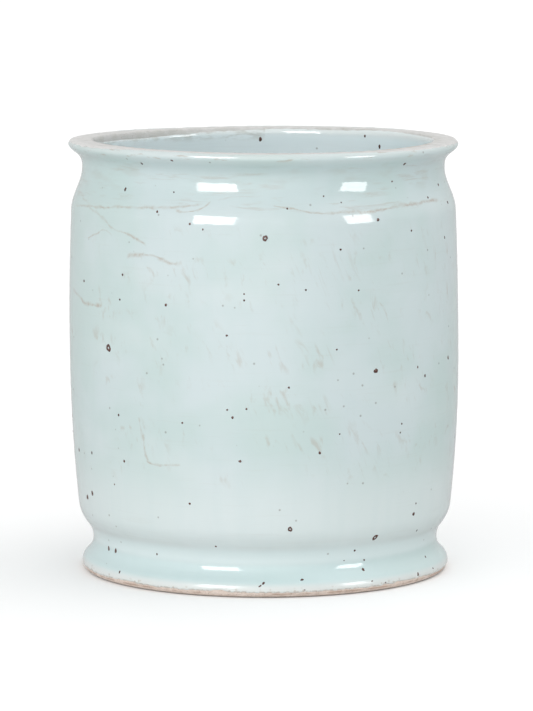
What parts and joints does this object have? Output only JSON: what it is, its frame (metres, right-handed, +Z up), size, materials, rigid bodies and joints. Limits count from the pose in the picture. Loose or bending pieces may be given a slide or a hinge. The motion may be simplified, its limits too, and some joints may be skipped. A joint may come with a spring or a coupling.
{
  "type": "brush holder pot",
  "caption": "Wide upright stoneware pot with an everted lip, drawn-in neck, barrel body and flared foot ring, for standing writing and painting brushes in.",
  "frame": {"origin": "middle of the foot ring, on the surface that the pot stands on", "axes": "+Z up along the axis of the pot, towards the mouth; the pot is round, so X and Y are any two directions across it"},
  "size_m": [0.16, 0.16, 0.177],
  "materials": {
    "clay": "fired buff stoneware, hidden under the glaze",
    "bare_clay": "bare fired stoneware, buff to pinkish brown, gritty and matt",
    "outer_glaze": "glossy pale blue-green glaze with iron spots, tea-coloured crackle and pooled, greener hollows",
    "inner_glaze": "glossy pale blue-green glaze, a little bluer and thinner than outside",
    "base_glaze": "thin pale glaze over turning marks",
    "lip_film": "dry matt beige film, stained brown in places",
    "iron_spot": "glossy dark red-brown iron speck, melted into the glaze"
  },
  "bodies": {
    "root": {"clay_wall": "clay", "floor_disc": "clay", "foot_ring": "bare_clay", "outer_glaze": "outer_glaze", "inner_glaze": "inner_glaze", "base_glaze": "base_glaze", "lip_film": "lip_film"}
  },
  "joints": []
}
